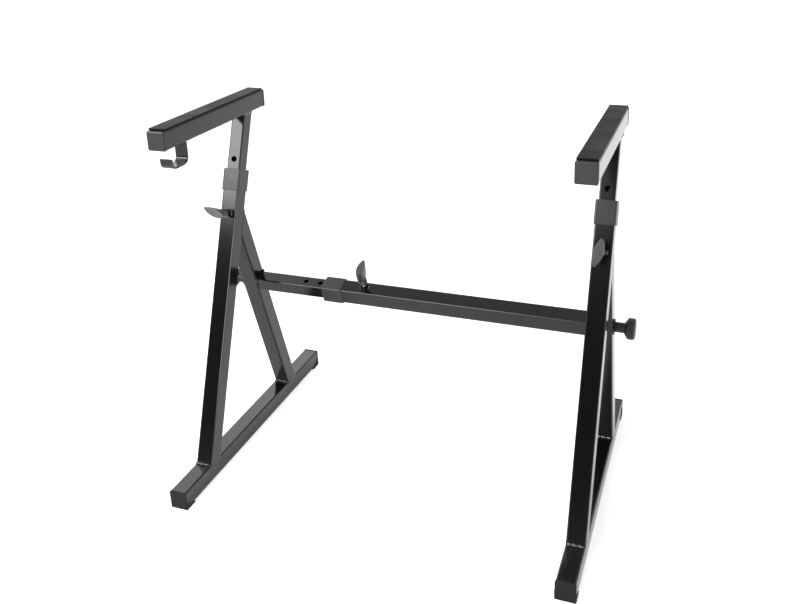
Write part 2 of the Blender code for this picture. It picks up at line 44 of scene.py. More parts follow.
# Sizes of the solids that the small pieces sit on
TUBE = 0.030
SLIDE_TUBE = 0.025
GAP = 0.0003
FRAME_X = 0.323
FOOT_TOP = 0.032
POST_Y = -0.156
POST_LEAN = math.radians(21)
POST_LENGTH = 0.508
BRACE_Y = 0.1335
BRACE_LEAN = math.radians(18)
ARM_BOTTOM = 0.6054
HOOK_Y = -0.1275
HOOK_WIDTH = 0.022
HOOK_SHEET = 0.003
CROSSBAR_HEIGHT = 0.288
CROSSBAR_OUTER_LENGTH = 0.478
SCREW_TO_END = 0.074
HOLE_RADIUS = 0.005
UPRIGHT_HOLE_PITCH = 0.032
CROSSBAR_HOLE_PITCH = 0.029
NUT_RADIUS = 0.0075
HUB_START = 0.011
SCREW_RADIUS = 0.004
SCREW_GRIP = 0.012
SIDES = {"left": -1, "right": 1}
QUARTER_TURN = math.radians(90)

# The crossbar, from brace to brace
CROSSBAR_LENGTH = 2 * (FRAME_X - TUBE / 2)
# Holes in the sliding tubes, counted in pitches from the clamping screw
UPRIGHT_HOLE_STEPS = range(-6, 4)
CROSSBAR_HOLE_STEPS = range(-4, 5)

# Weld beads: radius of each kind, and how much shorter each is than the edge that it lies on
BEAD = 0.0033
ARM_BEAD = 0.8 * BEAD
HOOK_BEAD = 0.75 * BEAD
BEAD_SHORTER = 0.003
ARM_BEAD_SHORTER = 0.002
HOOK_BEAD_SHORTER = 0.001
# Where a bead's middle lies: out from the tube, above the foot, below the arm
BASE_BEAD_OUT = 0.0004
BASE_BEAD_UP = 0.0005
APEX_BEAD_OUT = 0.0003
ARM_BEAD_DOWN = 0.0004
HOOK_BEAD_DOWN = 0.0003
# How a bead is laid, and its swell as shares of its radius
BEAD_STEP = 0.0006
RING_SIDES = 12
DROP_PITCH = 0.0092
DROP_SKEW = 0.6
DROP_SWELL = 0.68
RIPPLE_PITCH = 0.0024
RIPPLE_SWELL = 0.05
UNEVEN_SWELL = 0.10
UNEVEN_PACE = 1.7
UNEVEN_START = 0.6
SLIMMEST = 0.52
END_BLUNTNESS = 0.25
LEAST_WIDTH = 0.3

# Flush fills: width, how deep their middle lies inside the tube's side, and how much shorter they are than the seam
FILL_WIDTH = 0.0027
FILL_INSET = 0.0013
FILL_SHORTER = 0.0020
FILL_SOFTENING = 0.0003
BASE_FILL_HEIGHT = 0.0036
BASE_FILL_DOWN = 0.0010
APEX_FILL_DEPTH = 0.0024
APEX_FILL_BACK = 0.0001

# Lumps at the crossbar's left end, and tacks on the nuts
LUMP_LENGTH = 0.0066
LUMP_RADIUS = 0.0031
LUMP_OUT = 0.0014
LUMP_FROM_END = 0.0004
TACK_LENGTH = 0.0062
TACK_RADIUS = 0.0017
TACK_OUT = 0.0002
TACK_UP = 0.0009

# Rims of the locking holes
RIM_BEAD = 0.0005
RIM_PROUD = 0.0001
RIM_SIDES = 8
RIM_STEPS = 24

# Threads. The crest starts and ends at these parts of a pitch
THREAD_PITCH = 0.00125
THREAD_DEPTH = 0.0006
THREAD_SIDES = 24
THREAD_CREST = (0.42, 0.58)

MERGE_DISTANCE = 0.000001


def leaning_axes(x, y, z, lean):
    """Axes of a tube that starts at a point and leans by an angle about X."""
    return Matrix.Translation((x, y, z)) @ Matrix.Rotation(lean, 4, "X")


POST_AXES = {side: leaning_axes(way * FRAME_X, POST_Y, FOOT_TOP, -POST_LEAN) for side, way in SIDES.items()}
BRACE_AXES = {side: leaning_axes(way * FRAME_X, BRACE_Y, FOOT_TOP, BRACE_LEAN) for side, way in SIDES.items()}


def crossbar_axes():
    """Axes of the crossbar at the right brace: Z runs to the left, -Y is the face with the screw."""
    y = BRACE_Y - (CROSSBAR_HEIGHT - FOOT_TOP) * math.tan(BRACE_LEAN)
    rear = Vector((0, math.cos(BRACE_LEAN), math.sin(BRACE_LEAN)))
    below = Vector((0, math.sin(BRACE_LEAN), -math.cos(BRACE_LEAN)))
    left = Vector((-1, 0, 0))
    turn = Matrix((rear, below, left)).transposed().to_4x4()
    return Matrix.Translation((FRAME_X - TUBE / 2, y, CROSSBAR_HEIGHT)) @ turn


CROSSBAR_AXES = crossbar_axes()
POST_SCREW_AT = POST_LENGTH - SCREW_TO_END
CROSSBAR_SCREW_AT = CROSSBAR_OUTER_LENGTH - SCREW_TO_END


def face_axes(axes, along, width):
    """Axes on the screw face of a tube: Z out of the face, Y along the tube."""
    return axes @ Matrix.Translation((0, -width / 2, along)) @ Matrix.Rotation(QUARTER_TURN, 4, "X")


# ---------------------------------------------------------------- shader groups

# Cosine between a face and its rounded edge: whole above the first, worn below the second
UNWORN, WORN_THROUGH = 0.985, 0.86
# Upward share of a face's direction: bare below the first, dusty above the second
BARE_SLOPE, DUSTY_SLOPE = 0.55, 0.98
SPECK_SCALE = 900.0
FINER_DIMPLES = 3.7
CELL_SHARE, SPECKLE_SHARE = 0.7, 0.5
SCORE_STRETCH = (1.0, 1.0, 0.012)
SCORED_PLACES_SCALE = 22.0


class Wiring:
    """Adds nodes to a tree and joins them, so that a recipe reads from top to bottom."""

    def __init__(self, tree):
        self.tree = tree

    def node(self, kind, **settings):
        """A new node with its settings."""
        made = self.tree.nodes.new(kind)
        for name, value in settings.items():
            setattr(made, name, value)
        return made

    def feed(self, socket, value):
        """Joins an output to a socket, or sets the socket's own number."""
        if isinstance(value, bpy.types.NodeSocket):
            self.tree.links.new(value, socket)
        else:
            socket.default_value = value

    def maths(self, operation, first, second=0.0, clamp=False):
        """One Math node."""
        made = self.node("ShaderNodeMath", operation=operation, use_clamp=clamp)
        self.feed(made.inputs[0], first)
        self.feed(made.inputs[1], second)
        return made.outputs[0]

    def spread(self, value, low, high, to_low, to_high):
        """A Map Range node that stays between its ends."""
        made = self.node("ShaderNodeMapRange", clamp=True)
        for place, number in enumerate((value, low, high, to_low, to_high)):
            self.feed(made.inputs[place], number)
        return made.outputs[0]

    def noise(self, vector, scale, detail, roughness=0.5):
        """A Noise Texture's value."""
        made = self.node("ShaderNodeTexNoise")
        self.feed(made.inputs["Vector"], vector)
        self.feed(made.inputs["Scale"], scale)
        self.feed(made.inputs["Detail"], detail)
        self.feed(made.inputs["Roughness"], roughness)
        return made.outputs[0]

    def blend(self, factor, first, second):
        """A colour between two others."""
        made = self.node("ShaderNodeMix", data_type="RGBA")
        self.feed(made.inputs["Factor"], factor)
        self.feed(made.inputs[6], first)
        self.feed(made.inputs[7], second)
        return made.outputs[2]

    def group(self, tree, **values):
        """A shader group placed with its own values."""
        made = self.node("ShaderNodeGroup", node_tree=tree)
        for name, value in values.items():
            self.feed(made.inputs[name.replace("_", " ").capitalize()], value)
        return made


def shader_group(name, inputs, outputs):
    """An empty shader group with named sockets. Returns its tree, wiring, input node and output node."""
    tree = bpy.data.node_groups.new(name, "ShaderNodeTree")
    for label, kind, default in inputs:
        socket = tree.interface.new_socket(name=label, in_out="INPUT", socket_type=kind)
        if default is not None:
            socket.default_value = default
    for label, kind in outputs:
        tree.interface.new_socket(name=label, in_out="OUTPUT", socket_type=kind)
    wiring = Wiring(tree)
    return tree, wiring, wiring.node("NodeGroupInput"), wiring.node("NodeGroupOutput")


def edge_wear_group():
    """Where edges and corners have rubbed thin: a broken line along every sharp edge."""
    tree, w, given, out = shader_group(
        "edge wear",
        [
            ("Place", "NodeSocketVector", None),
            ("Radius", "NodeSocketFloat", 0.0010),
            ("Patch size", "NodeSocketFloat", 60.0),
            ("Amount", "NodeSocketFloat", 0.5),
        ],
        [("Mask", "NodeSocketFloat")],
    )
    rounded = w.node("ShaderNodeBevel", samples=4)
    w.feed(rounded.inputs["Radius"], given.outputs["Radius"])
    surface = w.node("ShaderNodeNewGeometry")
    turn = w.node("ShaderNodeVectorMath", operation="DOT_PRODUCT")
    w.feed(turn.inputs[0], rounded.outputs[0])
    w.feed(turn.inputs[1], surface.outputs["Normal"])
    edge = w.spread(turn.outputs["Value"], UNWORN, WORN_THROUGH, 0.0, 1.0)
    patches = w.noise(given.outputs["Place"], given.outputs["Patch size"], 4.0, 0.6)
    broken = w.spread(patches, 0.35, 0.65, 0.15, 1.0)
    w.feed(out.inputs["Mask"], w.maths("MULTIPLY", w.maths("MULTIPLY", edge, broken), given.outputs["Amount"]))
    return tree


def orange_peel_group():
    """Skin of a baked powder coat: low soft dimples with finer ones in them."""
    tree, w, given, out = shader_group(
        "orange peel",
        [
            ("Place", "NodeSocketVector", None),
            ("Dimple scale", "NodeSocketFloat", 420.0),
            ("Fine share", "NodeSocketFloat", 0.25),
        ],
        [("Height", "NodeSocketFloat")],
    )
    soft = w.noise(given.outputs["Place"], given.outputs["Dimple scale"], 1.0, 0.4)
    finer = w.maths("MULTIPLY", given.outputs["Dimple scale"], FINER_DIMPLES)
    fine = w.noise(given.outputs["Place"], finer, 1.0, 0.5)
    share = w.maths("MULTIPLY", fine, given.outputs["Fine share"])
    w.feed(out.inputs["Height"], w.maths("ADD", soft, share))
    return tree


def cloudiness_group():
    """Slow change over a surface between two values, for roughness and tone."""
    tree, w, given, out = shader_group(
        "cloudiness",
        [
            ("Place", "NodeSocketVector", None),
            ("Cloud scale", "NodeSocketFloat", 9.0),
            ("Low", "NodeSocketFloat", 0.2),
            ("High", "NodeSocketFloat", 0.3),
        ],
        [("Value", "NodeSocketFloat")],
    )
    clouds = w.noise(given.outputs["Place"], given.outputs["Cloud scale"], 5.0, 0.6)
    w.feed(out.inputs["Value"], w.spread(clouds, 0.3, 0.7, given.outputs["Low"], given.outputs["High"]))
    return tree


def moulding_grain_group():
    """Spark-eroded grain of a plastic mould: small flat-topped cells."""
    tree, w, given, out = shader_group(
        "moulding grain",
        [("Place", "NodeSocketVector", None), ("Grain scale", "NodeSocketFloat", 1500.0)],
        [("Height", "NodeSocketFloat"), ("Pits", "NodeSocketFloat")],
    )
    cells = w.node("ShaderNodeTexVoronoi", feature="SMOOTH_F1")
    w.feed(cells.inputs["Vector"], given.outputs["Place"])
    w.feed(cells.inputs["Scale"], given.outputs["Grain scale"])
    speckle = w.noise(given.outputs["Place"], given.outputs["Grain scale"], 2.0, 0.6)
    flats = w.maths("MULTIPLY", cells.outputs["Distance"], CELL_SHARE)
    rises = w.maths("MULTIPLY", speckle, SPECKLE_SHARE)
    w.feed(out.inputs["Height"], w.maths("ADD", flats, rises))
    w.feed(out.inputs["Pits"], w.spread(speckle, 0.35, 0.65, 0.0, 1.0))
    return tree


def settled_dust_group():
    """Thin dust on what faces up, thicker in soft patches."""
    tree, w, given, out = shader_group(
        "settled dust",
        [
            ("Place", "NodeSocketVector", None),
            ("Patch size", "NodeSocketFloat", 24.0),
            ("Amount", "NodeSocketFloat", 0.3),
        ],
        [("Mask", "NodeSocketFloat")],
    )
    surface = w.node("ShaderNodeNewGeometry")
    parts = w.node("ShaderNodeSeparateXYZ")
    w.feed(parts.inputs[0], surface.outputs["Normal"])
    level = w.spread(parts.outputs["Z"], BARE_SLOPE, DUSTY_SLOPE, 0.0, 1.0)
    soft = w.noise(given.outputs["Place"], given.outputs["Patch size"], 6.0, 0.65)
    patches = w.spread(soft, 0.3, 0.8, 0.1, 1.0)
    specks = w.spread(w.noise(given.outputs["Place"], SPECK_SCALE, 2.0, 0.7), 0.45, 0.75, 0.4, 1.0)
    shape = w.maths("MULTIPLY", w.maths("MULTIPLY", level, patches), specks)
    w.feed(out.inputs["Mask"], w.maths("MULTIPLY", shape, given.outputs["Amount"]))
    return tree


def rub_marks_group():
    """Fine scores along a sliding tube. Place has its Z along the tube."""
    tree, w, given, out = shader_group(
        "rub marks",
        [
            ("Place", "NodeSocketVector", None),
            ("Score scale", "NodeSocketFloat", 900.0),
            ("Amount", "NodeSocketFloat", 0.5),
        ],
        [("Mask", "NodeSocketFloat")],
    )
    drawn = w.node("ShaderNodeMapping")
    w.feed(drawn.inputs["Vector"], given.outputs["Place"])
    drawn.inputs["Scale"].default_value = SCORE_STRETCH
    scores = w.spread(w.noise(drawn.outputs[0], given.outputs["Score scale"], 3.0, 0.7), 0.56, 0.74, 0.0, 1.0)
    where = w.spread(w.noise(given.outputs["Place"], SCORED_PLACES_SCALE, 3.0, 0.6), 0.42, 0.62, 0.0, 1.0)
    w.feed(out.inputs["Mask"], w.maths("MULTIPLY", w.maths("MULTIPLY", scores, where), given.outputs["Amount"]))
    return tree


EDGE_WEAR = edge_wear_group()
ORANGE_PEEL = orange_peel_group()
CLOUDINESS = cloudiness_group()
MOULDING_GRAIN = moulding_grain_group()
SETTLED_DUST = settled_dust_group()
RUB_MARKS = rub_marks_group()


# ------------------------------------------------------------------- materials

COAT_BLACK = (0.0028, 0.0028, 0.0030, 1.0)
COAT_DEEP = (0.0018, 0.0018, 0.0020, 1.0)
COAT_THIN = (0.055, 0.054, 0.053, 1.0)
DUST_GREY = (0.20, 0.195, 0.185, 1.0)
SCORED_GREY = (0.060, 0.060, 0.062, 1.0)
RUBBER_BLACK = (0.003, 0.003, 0.003, 1.0)
RUBBER_RIB = (0.007, 0.007, 0.007, 1.0)
RUBBER_RUBBED = (0.10, 0.10, 0.10, 1.0)
# Roughness of the coat's clear layer, and what wear, scores and dust add to the coat's own
CLEAR_ROUGHNESS = 0.13
WORN_ROUGHER = 0.12
SCORED_ROUGHER = 0.2
DUSTY_ROUGHER = 0.5
# How far a plastic's pits take its rubbed colour, and its dust
PITS_SHARE = 0.22
PLASTIC_DUST = 0.03
# Depths of the reliefs, in metres
COAT_DEPTH = 0.000012
WELD_DEPTH = 0.00016
PLASTIC_DEPTH = 0.00002
PLATING_DEPTH = 0.000006
RIB_DEPTH = 0.00016
# Ribs of the rubber strips, and what the grain adds to their height
RIB_SCALE = 105.0
GRAIN_ON_RIBS = 0.15


def new_material(name, specular=0.5, turn=(0.0, 0.0, 0.0)):
    """A material with a Principled shader. Returns it with its wiring, shader and the surface's place."""
    material = bpy.data.materials.new(name)
    material.use_nodes = True
    w = Wiring(material.node_tree)
    shader = material.node_tree.nodes["Principled BSDF"]
    shader.inputs["Specular IOR Level"].default_value = specular
    where = w.node("ShaderNodeTexCoord")
    placed = w.node("ShaderNodeMapping", vector_type="TEXTURE")
    w.feed(placed.inputs["Vector"], where.outputs["Object"])
    placed.inputs["Rotation"].default_value = turn
    return material, w, shader, placed.outputs[0]


def relief(w, shader, height, depth, rounding=0.0):
    """A Bump node that carries a height to the shader's normal, at a depth in metres, over edges rounded by a
    radius."""
    bump = w.node("ShaderNodeBump")
    if rounding:
        rounded = w.node("ShaderNodeBevel", samples=6)
        rounded.inputs["Radius"].default_value = rounding
        w.feed(bump.inputs["Normal"], rounded.outputs[0])
    bump.inputs["Strength"].default_value = 1.0
    bump.inputs["Distance"].default_value = depth
    w.feed(bump.inputs["Height"], height)
    w.feed(shader.inputs["Normal"], bump.outputs[0])


def coat_material(
    name,
    low,
    high,
    wear,
    dust,
    peel=420.0,
    depth=COAT_DEPTH,
    turn=(0, 0, 0),
    marks=0.0,
    specular=0.20,
    clear=0.5,
    rounding=0.0,
):
    """Baked semi-gloss black powder coat, thin on the edges, with a little dust on top and scores where it
    slides. Its roughness drifts between low and high."""
    material, w, shader, place = new_material(name, specular, turn)
    shader.inputs["Coat Weight"].default_value = clear
    shader.inputs["Coat Roughness"].default_value = CLEAR_ROUGHNESS
    tone = w.group(CLOUDINESS, place=place, cloud_scale=14.0, low=0.0, high=1.0)
    colour = w.blend(tone.outputs[0], COAT_DEEP, COAT_BLACK)
    worn = w.group(EDGE_WEAR, place=place, radius=0.0011, patch_size=75.0, amount=wear)
    colour = w.blend(worn.outputs[0], colour, COAT_THIN)
    gloss = w.group(CLOUDINESS, place=place, cloud_scale=8.0, low=low, high=high)
    rough = w.maths("ADD", gloss.outputs[0], w.maths("MULTIPLY", worn.outputs[0], WORN_ROUGHER))
    if marks:
        rubbed = w.group(RUB_MARKS, place=place, score_scale=900.0, amount=marks)
        colour = w.blend(rubbed.outputs[0], colour, SCORED_GREY)
        rough = w.maths("ADD", rough, w.maths("MULTIPLY", rubbed.outputs[0], SCORED_ROUGHER))
    dusty = w.group(SETTLED_DUST, place=place, patch_size=26.0, amount=dust)
    colour = w.blend(dusty.outputs[0], colour, DUST_GREY)
    rough = w.maths("ADD", rough, w.maths("MULTIPLY", dusty.outputs[0], DUSTY_ROUGHER), clamp=True)
    w.feed(shader.inputs["Base Color"], colour)
    w.feed(shader.inputs["Roughness"], rough)
    skin = w.group(ORANGE_PEEL, place=place, dimple_scale=peel, fine_share=0.25)
    relief(w, shader, skin.outputs[0], depth, rounding)
    return material


def plastic_material(name, dark, light, rubbed, low, high, grain, specular=0.5, rounding=0.0):
    """Moulded black plastic with a fine grain, paler where it is rubbed. Its roughness drifts between low and
    high."""
    material, w, shader, place = new_material(name, specular)
    skin = w.group(MOULDING_GRAIN, place=place, grain_scale=grain)
    tone = w.group(CLOUDINESS, place=place, cloud_scale=30.0, low=0.0, high=1.0)
    colour = w.blend(tone.outputs[0], dark, light)
    colour = w.blend(w.maths("MULTIPLY", skin.outputs["Pits"], PITS_SHARE), colour, rubbed)
    worn = w.group(EDGE_WEAR, place=place, radius=0.0009, patch_size=120.0, amount=0.55)
    colour = w.blend(worn.outputs[0], colour, rubbed)
    dusty = w.group(SETTLED_DUST, place=place, patch_size=40.0, amount=PLASTIC_DUST)
    colour = w.blend(dusty.outputs[0], colour, DUST_GREY)
    gloss = w.group(CLOUDINESS, place=place, cloud_scale=22.0, low=low, high=high)
    w.feed(shader.inputs["Base Color"], colour)
    w.feed(shader.inputs["Roughness"], gloss.outputs[0])
    relief(w, shader, skin.outputs["Height"], PLASTIC_DEPTH, rounding)
    return material


def plated_material(name, dull, bright, rubbed):
    """Zinc plating with a fine grain and a little dulling, paler on its edges."""
    material, w, shader, place = new_material(name)
    shader.inputs["Metallic"].default_value = 1.0
    tone = w.group(CLOUDINESS, place=place, cloud_scale=160.0, low=0.0, high=1.0)
    colour = w.blend(tone.outputs[0], dull, bright)
    worn = w.group(EDGE_WEAR, place=place, radius=0.0006, patch_size=220.0, amount=0.8)
    colour = w.blend(worn.outputs[0], colour, rubbed)
    gloss = w.group(CLOUDINESS, place=place, cloud_scale=90.0, low=0.20, high=0.38)
    w.feed(shader.inputs["Base Color"], colour)
    w.feed(shader.inputs["Roughness"], gloss.outputs[0])
    skin = w.group(MOULDING_GRAIN, place=place, grain_scale=2600.0)
    relief(w, shader, skin.outputs["Height"], PLATING_DEPTH)
    return material


def strip_material(name):
    """Matt rubber with fine ribs along the strip, a little dust and rubbed edges."""
    material, w, shader, place = new_material(name, 0.10)
    ribs = w.node("ShaderNodeTexWave", wave_type="BANDS", bands_direction="X", wave_profile="SIN")
    w.feed(ribs.inputs["Vector"], place)
    ribs.inputs["Scale"].default_value = RIB_SCALE
    skin = w.group(MOULDING_GRAIN, place=place, grain_scale=1900.0)
    height = w.maths("ADD", ribs.outputs["Fac"], w.maths("MULTIPLY", skin.outputs["Height"], GRAIN_ON_RIBS))
    colour = w.blend(ribs.outputs["Fac"], RUBBER_BLACK, RUBBER_RIB)
    dusty = w.group(SETTLED_DUST, place=place, patch_size=34.0, amount=0.02)
    colour = w.blend(dusty.outputs[0], colour, DUST_GREY)
    worn = w.group(EDGE_WEAR, place=place, radius=0.0010, patch_size=90.0, amount=0.7)
    colour = w.blend(worn.outputs[0], colour, RUBBER_RUBBED)
    gloss = w.group(CLOUDINESS, place=place, cloud_scale=18.0, low=0.42, high=0.58)
    w.feed(shader.inputs["Base Color"], colour)
    w.feed(shader.inputs["Roughness"], gloss.outputs[0])
    relief(w, shader, height, RIB_DEPTH)
    return material


COAT = coat_material("black powder coat", low=0.15, high=0.21, wear=0.35, dust=0.01)
FOOT_COAT = coat_material("foot powder coat", low=0.14, high=0.22, wear=0.5, dust=0.02)
POST_SLIDE_COAT = coat_material(
    "sliding post coat", low=0.12, high=0.17, wear=0.4, dust=0.01, turn=(-POST_LEAN, 0, 0), marks=0.35
)
BAR_SLIDE_COAT = coat_material(
    "sliding crossbar coat",
    low=0.13,
    high=0.19,
    wear=0.4,
    dust=0.01,
    turn=(0, QUARTER_TURN, 0),
    marks=0.35,
)
WELD_COAT = coat_material(
    "coated weld",
    low=0.16,
    high=0.24,
    wear=0.5,
    dust=0.0,
    peel=600.0,
    depth=WELD_DEPTH,
    specular=1.0,
    clear=1.0,
)
HOOK_COAT = coat_material("hook powder coat", low=0.16, high=0.24, wear=0.6, dust=0.02, rounding=0.0016)
COLLAR_PLASTIC = plastic_material(
    "collar plastic",
    dark=(0.013, 0.013, 0.014, 1.0),
    light=(0.020, 0.020, 0.021, 1.0),
    rubbed=(0.08, 0.08, 0.08, 1.0),
    low=0.28,
    high=0.36,
    grain=1500.0,
)
CAP_PLASTIC = plastic_material(
    "cap plastic",
    dark=(0.025, 0.025, 0.026, 1.0),
    light=(0.032, 0.032, 0.033, 1.0),
    rubbed=(0.14, 0.14, 0.14, 1.0),
    low=0.22,
    high=0.30,
    grain=1300.0,
    specular=0.30,
)
FOOT_CAP_PLASTIC = plastic_material(
    "foot cap plastic",
    dark=(0.012, 0.012, 0.012, 1.0),
    light=(0.018, 0.018, 0.018, 1.0),
    rubbed=(0.06, 0.06, 0.06, 1.0),
    low=0.38,
    high=0.50,
    grain=1300.0,
    specular=0.10,
)
LEVER_PLASTIC = plastic_material(
    "lever plastic",
    dark=(0.044, 0.044, 0.045, 1.0),
    light=(0.058, 0.058, 0.059, 1.0),
    rubbed=(0.13, 0.13, 0.13, 1.0),
    low=0.28,
    high=0.38,
    grain=2000.0,
    rounding=0.0014,
)
KNOB_PLASTIC = plastic_material(
    "knob plastic",
    dark=(0.016, 0.016, 0.017, 1.0),
    light=(0.024, 0.024, 0.025, 1.0),
    rubbed=(0.08, 0.08, 0.08, 1.0),
    low=0.30,
    high=0.42,
    grain=1800.0,
    specular=0.35,
    rounding=0.0018,
)
GUIDE_PLASTIC = plastic_material(
    "guide plastic",
    dark=(0.020, 0.020, 0.021, 1.0),
    light=(0.028, 0.028, 0.029, 1.0),
    rubbed=(0.060, 0.060, 0.061, 1.0),
    low=0.35,
    high=0.50,
    grain=1700.0,
)
PLATED = plated_material(
    "zinc plating",
    dull=(0.28, 0.28, 0.28, 1.0),
    bright=(0.42, 0.42, 0.43, 1.0),
    rubbed=(0.70, 0.70, 0.72, 1.0),
)
BLACK_PLATED = plated_material(
    "black zinc plating",
    dull=(0.035, 0.035, 0.036, 1.0),
    bright=(0.055, 0.055, 0.056, 1.0),
    rubbed=(0.16, 0.16, 0.16, 1.0),
)
RUBBER = strip_material("ribbed rubber")


def finish_of(node):
    """The material that a solid of the stand takes."""
    if node.endswith("_strip"):
        return RUBBER
    if node.endswith("_washer"):
        return BLACK_PLATED
    if node.endswith("_screw"):
        return PLATED
    if node.endswith("_handle"):
        return LEVER_PLASTIC
    if node.endswith("_end_knob"):
        return KNOB_PLASTIC
    if node.endswith("_collar"):
        return COLLAR_PLASTIC
    if "_foot_cap_" in node:
        return FOOT_CAP_PLASTIC
    if "_arm_cap_" in node:
        return CAP_PLASTIC
    if node.endswith(("_guide", "_plug")):
        return GUIDE_PLASTIC
    if node.endswith("_upright_tube"):
        return POST_SLIDE_COAT
    if node == "crossbar_inner_tube":
        return BAR_SLIDE_COAT
    if node.endswith("_foot_tube"):
        return FOOT_COAT
    if node == "headphone_hook":
        return HOOK_COAT
    return COAT


for name, solid in nodes.items():
    for place in solid.material_slots:
        place.material = finish_of(name)


# ---------------------------------------------------------------- small pieces


def new_object(mesh, name, material):
    """Turns bmesh data into an object with its material."""
    data = bpy.data.meshes.new(name)
    mesh.to_mesh(data)
    mesh.free()
    data.materials.append(material)
    made = bpy.data.objects.new(name, data)
    scene.collection.objects.link(made)
    return made


def add_piece(mesh, name, body, material, smooth_angle=40.0):
    """Turns bmesh data into a piece that rides on a body, smooth where its faces meet at less than an angle."""
    bmesh.ops.remove_doubles(mesh, verts=mesh.verts, dist=MERGE_DISTANCE)
    bmesh.ops.recalc_face_normals(mesh, faces=mesh.faces)
    piece = new_object(mesh, name, material)
    piece.data.shade_smooth()
    piece.data.set_sharp_from_angle(angle=math.radians(smooth_angle))
    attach(piece, body)
    return piece


def ripple(distance):
    """Width of a weld bead along its length, as a share of its radius: heavy uneven drops with ripples on them."""
    turn = distance / DROP_PITCH
    drop = turn - math.floor(turn)
    swell = DROP_SWELL * math.sin(math.pi * drop**DROP_SKEW)
    uneven = UNEVEN_SWELL * math.sin(UNEVEN_PACE * turn + UNEVEN_START)
    fine = RIPPLE_SWELL * math.sin(math.tau * distance / RIPPLE_PITCH)
    return SLIMMEST + swell + uneven + fine


def lay_bead(mesh, axes, length, radius, phase):
    """A rippled weld bead along the X of its axes, centred, with blunt rounded ends. The phase is the distance
    at which its ripples start."""
    steps = max(4, round(length / BEAD_STEP))
    turn = Matrix.Rotation(QUARTER_TURN, 4, "Y")
    start = axes @ Matrix.Translation((-length / 2, 0, 0)) @ turn
    made = bmesh.ops.create_circle(mesh, cap_ends=True, radius=radius, segments=RING_SIDES, matrix=start)
    ring = [e for e in mesh.edges if e.verts[0] in made["verts"] and e.verts[1] in made["verts"]]
    ring = [e for e in ring if len(e.link_faces) == 1]
    width = 1.0
    for step in range(1, steps + 1):
        grown = bmesh.ops.extrude_edge_only(mesh, edges=ring)
        verts = [item for item in grown["geom"] if isinstance(item, bmesh.types.BMVert)]
        ring = [item for item in grown["geom"] if isinstance(item, bmesh.types.BMEdge)]
        ring = [e for e in ring if e.verts[0] in verts and e.verts[1] in verts]
        along = step / steps
        end = min(along, 1 - along) * length
        blunt = math.sqrt(min(1.0, END_BLUNTNESS + end / (2 * radius)))
        wanted = max(LEAST_WIDTH, blunt * ripple(phase + along * length))
        grow = wanted / width
        width = wanted
        shift = Matrix.Translation((length / steps, 0, 0))
        centre = axes @ Matrix.Translation((-length / 2 + (step - 1) * length / steps, 0, 0))
        move = centre @ shift @ Matrix.Diagonal((1, grow, grow, 1)) @ centre.inverted()
        bmesh.ops.transform(mesh, matrix=move, verts=verts)
    bmesh.ops.holes_fill(mesh, edges=ring, sides=0)


def flush_fill(mesh, size, axes):
    """Ground-down weld in the groove between two flush faces: a slim bar with softened edges."""
    made = bmesh.ops.create_cube(mesh, size=1.0)
    bmesh.ops.scale(mesh, vec=Vector(size), verts=made["verts"])
    bmesh.ops.transform(mesh, matrix=axes, verts=made["verts"])
    edges = list({e for v in made["verts"] for e in v.link_edges})
    bmesh.ops.bevel(mesh, geom=edges, offset=FILL_SOFTENING, segments=2, profile=0.5, affect="EDGES", material=-1)


def base_weld(side, name, y, lean):
    """Weld between a leaning tube and the foot: beads across the front and back, flush at the sides."""
    x = SIDES[side] * FRAME_X
    half = TUBE / 2 / math.cos(lean)
    beads, fills = bmesh.new(), bmesh.new()
    for way, phase in ((-1, 0.0013), (1, 0.0034)):
        place = Matrix.Translation((x, y + way * (half + BASE_BEAD_OUT), FOOT_TOP + BASE_BEAD_UP))
        lay_bead(beads, place, TUBE - BEAD_SHORTER, BEAD, phase)
        groove = Matrix.Translation((x + way * (TUBE / 2 - FILL_INSET), y, FOOT_TOP - BASE_FILL_DOWN))
        flush_fill(fills, (FILL_WIDTH, 2 * half - FILL_SHORTER, BASE_FILL_HEIGHT), groove)
    add_piece(beads, f"{side}_{name}_base_weld", side + "_frame", WELD_COAT)
    add_piece(fills, f"{side}_{name}_base_fill", side + "_frame", COAT)


def apex_weld(side):
    """Weld where the brace meets the back of the post."""
    post = POST_AXES[side]
    brace = BRACE_AXES[side]
    back = post.to_3x3() @ Vector((0, 1, 0))
    on_post = post @ Vector((0, TUBE / 2, 0))
    up = brace.to_3x3() @ Vector((0, 0, 1))
    beads, fills = bmesh.new(), bmesh.new()
    ends = []
    for way, phase in ((-1, 0.0007), (1, 0.0024)):
        start = brace @ Vector((0, way * TUBE / 2, 0))
        reach = (on_post - start).dot(back) / up.dot(back)
        point = start + up * reach
        ends.append(point)
        outward = brace.to_3x3() @ Vector((0, way, 0))
        centre = point + (outward + back) * APEX_BEAD_OUT
        lay_bead(beads, Matrix.Translation(centre), TUBE - BEAD_SHORTER, BEAD, phase)
    middle = (ends[0] + ends[1]) / 2
    seam = (ends[1] - ends[0]).length
    turn = Matrix.Rotation(-POST_LEAN, 4, "X")
    for way in (-1, 1):
        place = Matrix.Translation(middle + back * APEX_FILL_BACK) @ turn
        place = Matrix.Translation((way * (TUBE / 2 - FILL_INSET), 0, 0)) @ place
        flush_fill(fills, (FILL_WIDTH, APEX_FILL_DEPTH, seam - FILL_SHORTER), place)
    add_piece(beads, side + "_apex_weld", side + "_frame", WELD_COAT)
    add_piece(fills, side + "_apex_fill", side + "_frame", COAT)


